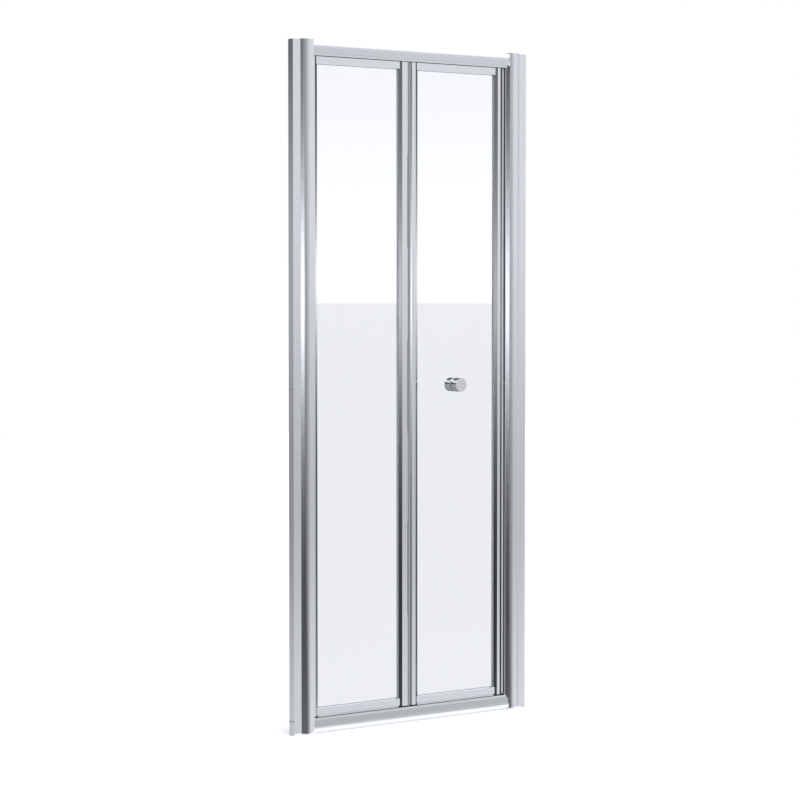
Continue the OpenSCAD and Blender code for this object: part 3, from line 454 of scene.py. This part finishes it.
def buildPostEdge(values):
    # the right-hand end of a post's rounded front is matt, so it shows no hard white line
    group, given, put = newShade("postEdge")
    facing = addNormal(group)
    turned = addRange(group, facing["X"], values["edgeFrom"], values["edgeTo"], 0, values["matt"])
    ahead = addMath(group, "LESS_THAN", facing["Y"], values["facing"])
    rough = addMath(group, "MULTIPLY_ADD", turned, ahead, third=given["Roughness"])
    group.links.new(given["Color"], put["Color"])
    group.links.new(rough, put["Roughness"])
    return group


def buildKnobPaintedReflection(values):
    # painted reflection of a dark ceiling and a grey floor: polished knobs darkened along their top and
    # underside
    group, given, put = newShade("knobPaintedReflection")
    up = addNormal(group)["Z"]
    ceiling = addRange(group, up, values["ceilingFrom"], values["ceilingTo"], 0, 1 - values["ceilingPaintedShade"])
    ground = addRange(group, up, values["floorFrom"], values["floorTo"], 0, 1 - values["floorPaintedShade"])
    kept = addMath(group, "SUBTRACT", 1.0, addMath(group, "MAXIMUM", ceiling, ground))
    group.links.new(addTint(group, given["Color"], kept), put["Color"])
    group.links.new(given["Roughness"], put["Roughness"])
    return group


def dressFinish(material, group):
    tree = material.node_tree
    shader = tree.nodes["Principled BSDF"]
    shade = tree.nodes.new("ShaderNodeGroup")
    shade.node_tree = group
    for label, socket in (("Color", "Base Color"), ("Roughness", "Roughness")):
        target = shader.inputs[socket]
        tree.links.new(target.links[0].from_socket, shade.inputs[label])
        tree.links.new(shade.outputs[label], target)


dressFinish(finishes["stileAluminium"], buildStilePaintedShade(stileLook))
dressFinish(finishes["uprightAluminium"], buildPostEdge(postLook))
dressFinish(finishes["chrome"], buildKnobPaintedReflection(knobReflectionLook))
print("stiles, posts and knobs shaded")


# a window that only the glass sees, as the pale upper part of its reflection

windowLook = {"place": (3.93, -5.17), "low": 1.11, "high": 2.4, "width": 24,
              "bottomLight": 2.5, "topLight": 0.85}


def buildWindow(values, panes):
    material = bpy.data.materials.new("windowLight")
    material.use_nodes = True
    tree = material.node_tree
    tree.nodes.clear()
    low, high = values["low"], values["high"]
    light = addRange(tree, addPlace(tree)["Z"], low, high, values["bottomLight"], values["topLight"])
    glow = addNode(tree, "Emission", {"Strength": light}).outputs[0]
    clear = addNode(tree, "BsdfTransparent").outputs[0]
    addNode(tree, "OutputMaterial", {"Surface": addNode(tree, "AddShader", {0: glow, 1: clear}).outputs[0]})
    x, y = values["place"]
    middle = (x, y, (low + high) / 2)
    turn = (math.radians(90), 0, math.atan2(x, -y))  # stands up and faces the door
    window = newPlane("glassWindow", values["width"], high - low, middle, material, turn)
    window.visible_camera = False
    window.visible_shadow = False
    onlyPanes = bpy.data.collections.new("onlyPanes")
    for pane in panes:
        onlyPanes.objects.link(pane)
    window.light_linking.receiver_collection = onlyPanes


buildWindow(windowLook, [nodes["pivot_glass"], nodes["lead_glass"]])


# clear glass that lets soft light and shadow rays straight through

glassLook = {"color": (0.866, 0.882, 0.914, 1), "ior": 1.52, "shadow": (0.93, 0.94, 0.94, 1)}


def buildGlass(values):
    material = bpy.data.materials.new("clearGlass")
    material.use_nodes = True
    tree = material.node_tree
    shader = tree.nodes["Principled BSDF"]
    shader.inputs["Base Color"].default_value = values["color"]
    shader.inputs["Roughness"].default_value = 0.0
    shader.inputs["IOR"].default_value = values["ior"]
    shader.inputs["Transmission Weight"].default_value = 1.0
    output = tree.nodes["Material Output"]
    path = addNode(tree, "LightPath").outputs
    soft = addMath(tree, "MAXIMUM", path["Is Shadow Ray"], path["Is Diffuse Ray"])
    clear = addNode(tree, "BsdfTransparent", {"Color": values["shadow"]}).outputs[0]
    mixed = addNode(tree, "MixShader", {0: soft, 1: shader.outputs[0], 2: clear}).outputs[0]
    tree.links.new(mixed, output.inputs["Surface"])
    return material


finishes["clearGlass"] = buildGlass(glassLook)
print("glass and its window made")


# helpers for the pieces modelled here, which stand for plain solids of the frame

smoothAngle = 35  # degrees between faces that still shade as one surface
flatEnd = 0.99  # least part of a face's normal along Y on the flat end of a turned piece
placeDigits = 6  # decimals of a metre by which corners count as the same


def deselectAll():
    if bpy.context.object and bpy.context.object.mode != "OBJECT":
        bpy.ops.object.mode_set(mode="OBJECT")
    bpy.ops.object.select_all(action="DESELECT")


def editFaces(piece, wanted):
    # leaves the piece in edit mode with just the wanted faces selected
    bpy.ops.object.mode_set(mode="EDIT")
    bpy.ops.mesh.select_mode(type="FACE")
    bpy.ops.mesh.select_all(action="DESELECT")
    bpy.ops.object.mode_set(mode="OBJECT")
    for face in piece.data.polygons:
        face.select = wanted(face)
    bpy.ops.object.mode_set(mode="EDIT")


def newTurned(name, radius, length, sides):
    # a round blank along Y whose room-side face lies at y = -length, its other one at y = 0
    deselectAll()
    bpy.ops.mesh.primitive_cylinder_add(vertices=sides, radius=radius, depth=length,
                                        location=(0, -length / 2, 0), rotation=(math.radians(90), 0, 0))
    piece = bpy.context.object
    piece.name = name
    bpy.ops.object.transform_apply(location=True, rotation=True, scale=True)
    return piece


def isFront(face):
    return face.normal.y < -flatEnd


def isBack(face):
    return face.normal.y > flatEnd


def softenEdges(piece, width, segments, angle):
    # rounds every edge that turns by more than the angle
    bpy.ops.object.mode_set(mode="OBJECT")
    bevel = piece.modifiers.new("softEdges", "BEVEL")
    bevel.width = width
    bevel.segments = segments
    bevel.limit_method = "ANGLE"
    bevel.angle_limit = math.radians(angle)
    bpy.ops.object.modifier_apply(modifier=bevel.name)
    bpy.ops.object.shade_smooth_by_angle(angle=math.radians(smoothAngle))


def setPlace(piece, place, behind):
    # moves a piece's mesh, turned round to the shower side where behind is true
    if behind:
        piece.rotation_euler = (0, 0, math.pi)
    piece.location = place
    deselectAll()
    piece.select_set(True)
    bpy.context.view_layer.objects.active = piece
    bpy.ops.object.transform_apply(location=True, rotation=True, scale=True)


def putCopies(model, name, places, behind, body, node):
    # one copy of the model with its own mesh at each place, all standing for one node
    for number, place in enumerate(places, 1):
        copy = model.copy()
        copy.data = model.data.copy()
        copy.name = f"{name}_{number}"
        bpy.context.collection.objects.link(copy)
        setPlace(copy, place, behind)
        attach(copy, body)
        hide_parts(node)


def removeModel(model):
    bpy.data.objects.remove(model, do_unlink=True)


def islandBoxes(node):
    # corner boxes of the separate solids in a node, which tell where each screw or cover is
    mesh = nodes[node].data
    owner = list(range(len(mesh.vertices)))
    byPlace = {}
    for vertex in mesh.vertices:
        place = tuple(round(value, placeDigits) for value in vertex.co)
        byPlace.setdefault(place, []).append(vertex.index)

    def root(index):
        while owner[index] != index:
            owner[index] = owner[owner[index]]
            index = owner[index]
        return index

    for group in byPlace.values():
        for index in group[1:]:
            owner[root(index)] = root(group[0])
    for edge in mesh.edges:
        owner[root(edge.vertices[0])] = root(edge.vertices[1])
    islands = {}
    for vertex in mesh.vertices:
        islands.setdefault(root(vertex.index), []).append(vertex.co.copy())
    boxes = [(tuple(map(min, *points)), tuple(map(max, *points))) for points in islands.values()]
    return sorted(boxes, key=lambda box: (box[0][2], box[0][0]))


# knobs, turned with a recessed satin disc in the polished front

knobLook = {"sides": 96, "rim": 0.0011, "recess": 0.00025, "neck": 0.0016, "neckLength": 0.0014,
            "edge": 0.0007, "edgeSteps": 3, "edgeAngle": 50}


def buildKnob(values, radius, length):
    knob = newTurned("knobModel", radius, length, values["sides"])
    editFaces(knob, isFront)
    bpy.ops.mesh.inset(thickness=values["rim"], depth=0)
    bpy.ops.mesh.inset(thickness=values["recess"], depth=-values["recess"])
    editFaces(knob, isBack)
    bpy.ops.transform.translate(value=(0, -values["neckLength"], 0))
    bpy.ops.mesh.inset(thickness=values["neck"], depth=0)
    bpy.ops.mesh.extrude_region_move(TRANSFORM_OT_translate={"value": (0, values["neckLength"], 0)})
    softenEdges(knob, values["edge"], values["edgeSteps"], values["edgeAngle"])
    knob.data.materials.append(finishes["chrome"])
    knob.data.materials.append(finishes["satinChrome"])
    disc = radius - values["rim"] - values["recess"]
    for face in knob.data.polygons:
        if isFront(face) and face.area > disc * disc:
            face.material_index = 1
    return knob


def buildKnobs():
    low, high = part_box("outer_knob")
    centre = (low + high) / 2
    model = buildKnob(knobLook, (high.x - low.x) / 2, high.y - low.y)
    outside = (centre.x, high.y, centre.z)
    inside = (centre.x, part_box("inner_knob")[0].y, centre.z)
    putCopies(model, "outer_turned_knob", [outside], False, "lead_panel", "outer_knob")
    putCopies(model, "inner_turned_knob", [inside], True, "lead_panel", "inner_knob")
    removeModel(model)


buildKnobs()
print("knobs turned")


# domed screws with a cross recess

screwLook = {"sides": 48, "crown": 0.45, "crownTop": 0.55, "soft": 0.35, "softSteps": 4, "softAngle": 20,
             "shank": 0.5, "crossWidth": 0.16, "crossReach": 0.52, "crossDepth": 0.6}


def buildScrew(values, radius, height, shankLength):
    screw = newTurned("screwModel", radius, height, values["sides"])
    editFaces(screw, isFront)
    rise = height * (1 - values["crown"])
    bpy.ops.transform.translate(value=(0, rise, 0))
    bpy.ops.mesh.extrude_region_move(TRANSFORM_OT_translate={"value": (0, -rise, 0)})
    flat = values["crownTop"]
    bpy.ops.transform.resize(value=(flat, 1, flat))
    softenEdges(screw, height * values["soft"], values["softSteps"], values["softAngle"])
    editFaces(screw, isBack)
    bpy.ops.mesh.inset(thickness=radius * (1 - values["shank"]), depth=0)
    bpy.ops.mesh.extrude_region_move(TRANSFORM_OT_translate={"value": (0, shankLength, 0)})
    bpy.ops.object.mode_set(mode="OBJECT")
    for turn in (0, 90):
        cutCross(screw, values, radius, height, turn)
    screw.data.materials.clear()
    screw.data.materials.append(finishes["steel"])
    return screw


def cutCross(screw, values, radius, height, turn):
    deselectAll()
    bpy.ops.mesh.primitive_cube_add(size=1, location=(0, -height, 0), rotation=(0, math.radians(turn), 0))
    slot = bpy.context.object
    slot.scale = (2 * radius * values["crossReach"], 2 * height * values["crossDepth"],
                  2 * radius * values["crossWidth"])
    bpy.ops.object.transform_apply(location=True, rotation=True, scale=True)
    deselectAll()
    screw.select_set(True)
    bpy.context.view_layer.objects.active = screw
    cut = screw.modifiers.new("crossCut", "BOOLEAN")
    cut.operation = "DIFFERENCE"
    cut.object = slot
    bpy.ops.object.modifier_apply(modifier=cut.name)
    removeModel(slot)


def buildPanelScrews():
    boxes = {node: islandBoxes(node) for node in ("pivot_panel_screws", "lead_panel_screws")}
    low, high = boxes["pivot_panel_screws"][0]
    radius = (high[0] - low[0]) / 2
    height = high[1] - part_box("pivot_bottom_profile")[1].y
    model = buildScrew(screwLook, radius, height, high[1] - height - low[1])
    for node, body in (("pivot_panel_screws", "pivot_panel"), ("lead_panel_screws", "lead_panel")):
        places = [((a[0] + b[0]) / 2, b[1] - height, (a[2] + b[2]) / 2) for a, b in boxes[node]]
        putCopies(model, node.replace("screws", "screw"), places, True, body, node)
    removeModel(model)


def buildLockScrew():
    low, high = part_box("strike_lock_screw")
    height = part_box("strike_magnet")[0].y - low.y
    radius = (high.x - low.x) / 2
    model = buildScrew(screwLook, radius, height, high.y - low.y - height)
    place = ((low.x + high.x) / 2, low.y + height, (low.z + high.z) / 2)
    putCopies(model, "strike_small_screw", [place], False, "frame", "strike_lock_screw")
    removeModel(model)


buildPanelScrews()
buildLockScrew()
print("screws shaped")


# domed snap-on covers over the adjusting screws

coverLook = {"sides": 64, "rim": 0.0012, "dome": 0.0006, "domeSteps": 4, "domeAngle": 15}


def buildCovers(values):
    for side in ("left", "right"):
        node = f"{side}_screw_covers"
        boxes = islandBoxes(node)
        low, high = boxes[0]
        radius, height = (high[0] - low[0]) / 2, high[1] - low[1]
        model = newTurned("coverModel", radius, height, values["sides"])
        editFaces(model, isFront)
        bpy.ops.transform.translate(value=(0, values["dome"], 0))
        bpy.ops.mesh.inset(thickness=values["rim"], depth=values["dome"])
        softenEdges(model, values["dome"], values["domeSteps"], values["domeAngle"])
        model.data.materials.append(finishes["whiteNylon"])
        places = [((a[0] + b[0]) / 2, a[1], (a[2] + b[2]) / 2) for a, b in boxes]
        putCopies(model, f"{side}_cover", places, True, "frame", node)
        removeModel(model)


buildCovers(coverLook)
print("screw covers domed")


# finish of every node of the frame

finishOf = {
    "uprightAluminium": ["left_wall_channel", "right_wall_channel", "left_post", "right_post",
                         "strike_profile", "left_post_cap", "right_post_cap"],
    "stileAluminium": ["pivot_stile", "pivot_fold_stile", "lead_fold_stile", "closing_stile"],
    "railAluminium": ["top_rail", "bottom_rail"],
    "crossAluminium": ["pivot_top_profile", "pivot_bottom_profile",
                       "lead_top_profile", "lead_bottom_profile"],
    "steel": ["corner_screws", "left_adjuster_screws", "right_adjuster_screws", "strike_screws",
              "pivot_seat_screws", "pivot_panel_screws", "lead_panel_screws", "bottom_pivot_pin",
              "top_pivot_pin", "bottom_guide_pin", "top_guide_pin", "hinge_rod", "strike_lock_screw"],
    "chrome": ["outer_knob", "inner_knob", "knob_stud"],
    "whiteNylon": ["left_screw_covers", "right_screw_covers", "bottom_guide_roller", "top_guide_roller"],
    "darkNylon": ["bottom_pivot_seat", "top_pivot_seat", "bottom_pivot_block", "top_pivot_block",
                  "pivot_fold_blocks", "bottom_guide_block", "top_guide_block", "lead_fold_blocks"],
    "greySeal": ["post_wiper_seal", "pivot_end_gaskets", "lead_end_gaskets"],
    "paleSeal": ["pivot_drip_seal", "lead_drip_seal"],
    "clearGasket": ["pivot_side_gaskets", "lead_side_gaskets"],
    "magnetStrip": ["strike_magnet"],
    "glossStrip": ["door_magnet"],
    "softWasher": ["knob_washers"],
    "clearGlass": ["pivot_glass", "lead_glass"],
}


def dressNodes():
    for finish, names in finishOf.items():
        for name in names:
            slots = nodes[name].data.materials
            slots.clear()
            slots.append(finishes[finish])


dressNodes()
print("finishes set on", sum(len(names) for names in finishOf.values()), "nodes")
